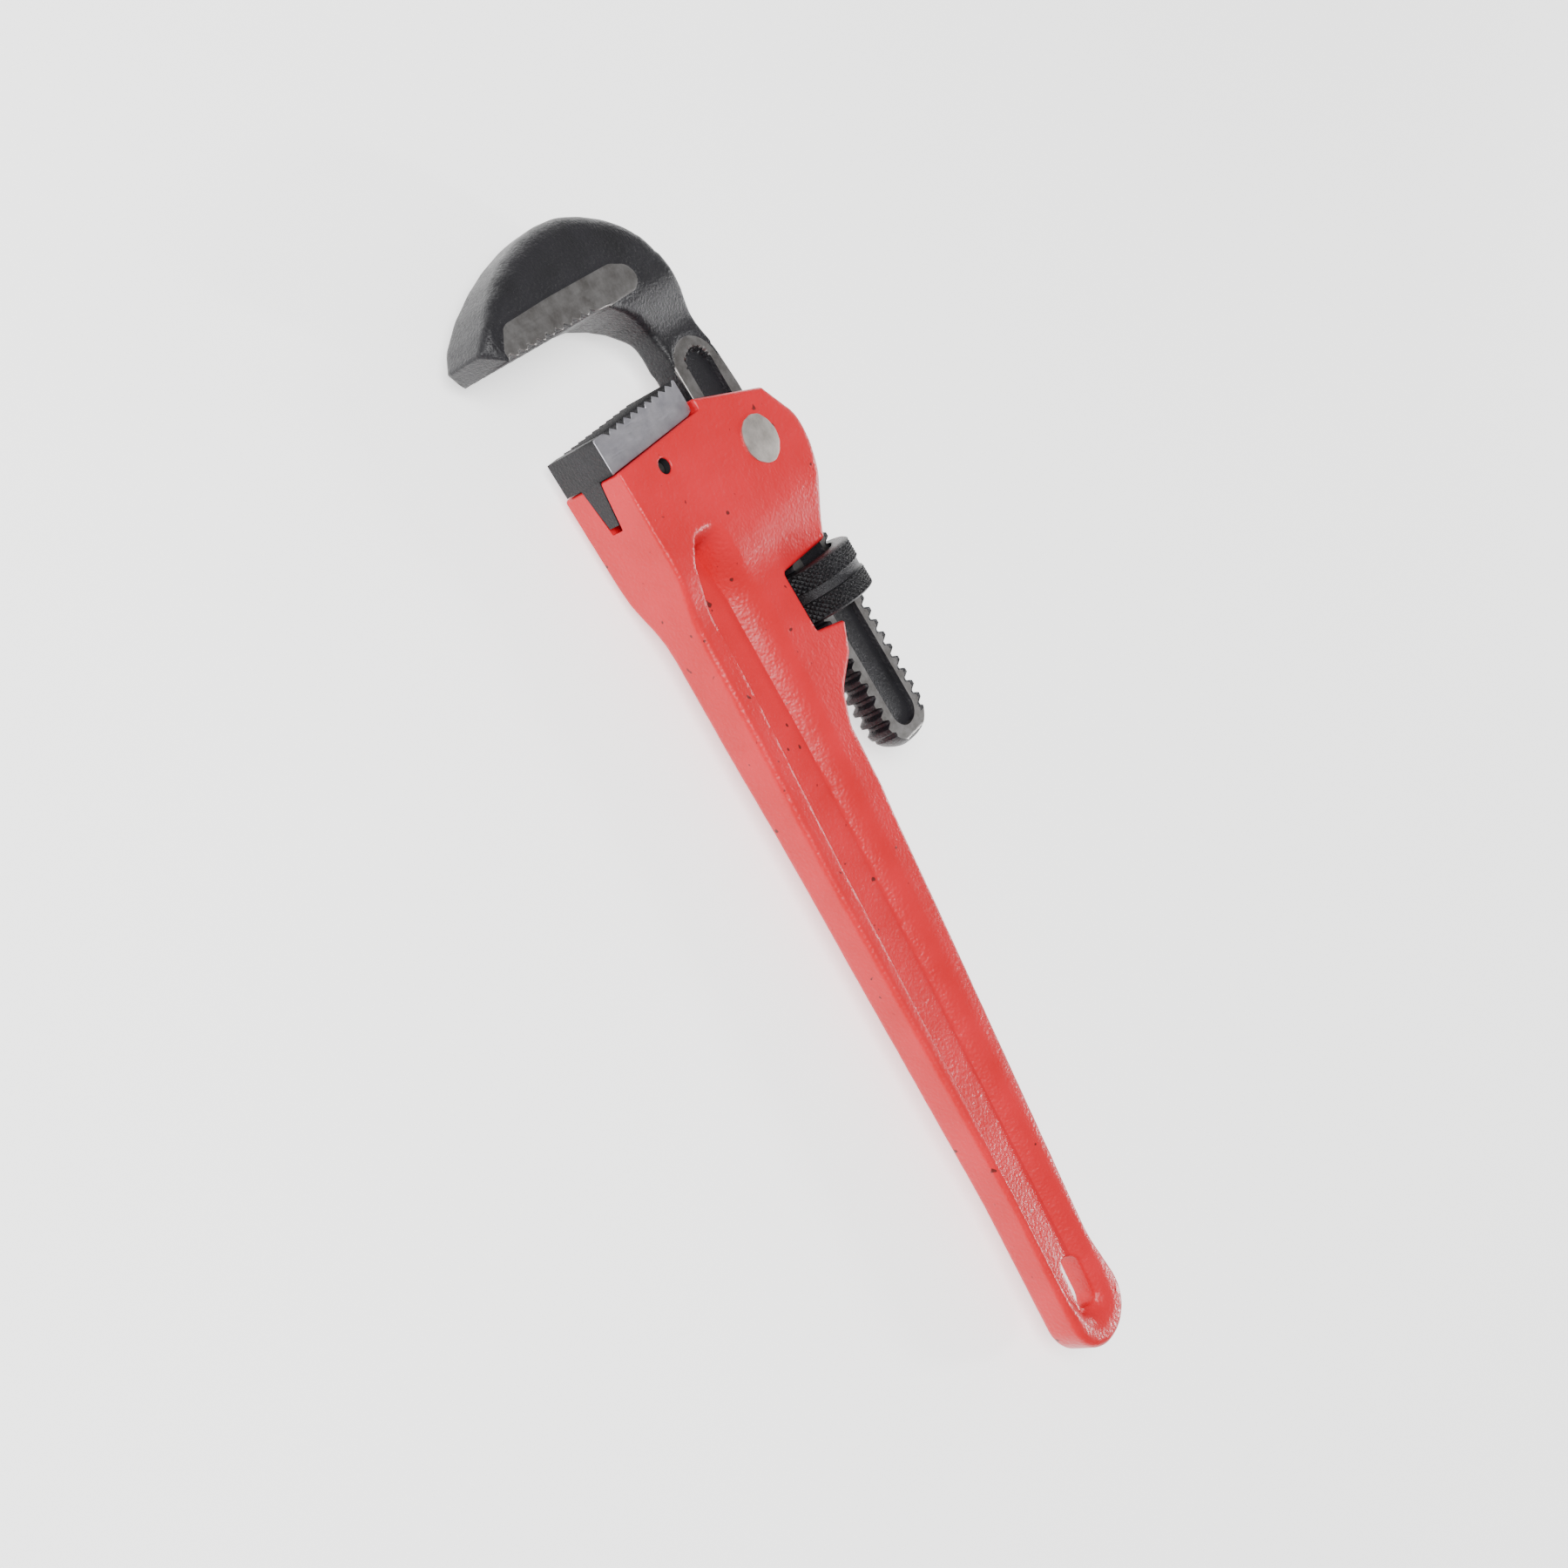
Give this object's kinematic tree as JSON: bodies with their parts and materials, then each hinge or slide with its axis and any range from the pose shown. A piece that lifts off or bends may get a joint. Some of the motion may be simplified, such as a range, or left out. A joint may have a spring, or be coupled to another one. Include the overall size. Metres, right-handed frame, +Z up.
{
  "type": "pipe wrench",
  "caption": "Straight pipe wrench: red cast housing and I-beam handle, black toothed hook and heel jaws, knurled adjusting nut and a sprung, screw-adjusted hook jaw.",
  "frame": {"origin": "under the middle of the part's box, on the surface that the wrench lies on", "axes": "+X along the hook jaw's shank, from the hook to the handle end; +Y towards the wrench's back; +Z up, square to the flat sides"},
  "size_m": [0.4702, 0.1252, 0.0392],
  "materials": {
    "red_casting": "glossy enamel over a sand casting",
    "heel_steel": "black phosphate, sides ground bare",
    "hook_steel": "black lacquer over a drop forging, contact faces ground bare",
    "nut_steel": "black oxide, diamond knurl",
    "pin_steel": "plain turned steel",
    "spring_steel": "blued spring steel"
  },
  "bodies": {
    "frame": {"handle": "red_casting", "heel_jaw": "heel_steel", "heel_jaw_pin": "pin_steel"},
    "rocker": {"flat_spring": "spring_steel", "spring_rivet": "pin_steel", "coil_spring": "spring_steel"},
    "hook": {"hook_jaw": "hook_steel"},
    "nut": {"adjusting_nut": "nut_steel"}
  },
  "joints": [
    {"name": "jaw_rock", "type": "hinge", "parent": "frame", "child": "rocker", "pos_m": [-0.0692, 0.0376, 0.0196], "axis": [0, 0, 1], "range_deg": [0, 2.5], "stiffness_Nm_per_rad": 6, "springref_deg": -5.73, "deforming": ["coil_spring"]},
    {"name": "nut_spin", "type": "hinge", "parent": "rocker", "child": "nut", "pos_m": [-0.0692, 0.0376, 0.0196], "axis": [1, 0, 0], "range_deg": [-1590, 2420]},
    {"name": "jaw_slide", "type": "slide", "parent": "rocker", "child": "hook", "axis": [-1, 0, 0], "range_m": [-0.0249, 0.0379]}
  ],
  "couplings": [
    {"joint": "nut_spin", "follows": "jaw_slide", "rad_per_m": 1114}
  ]
}
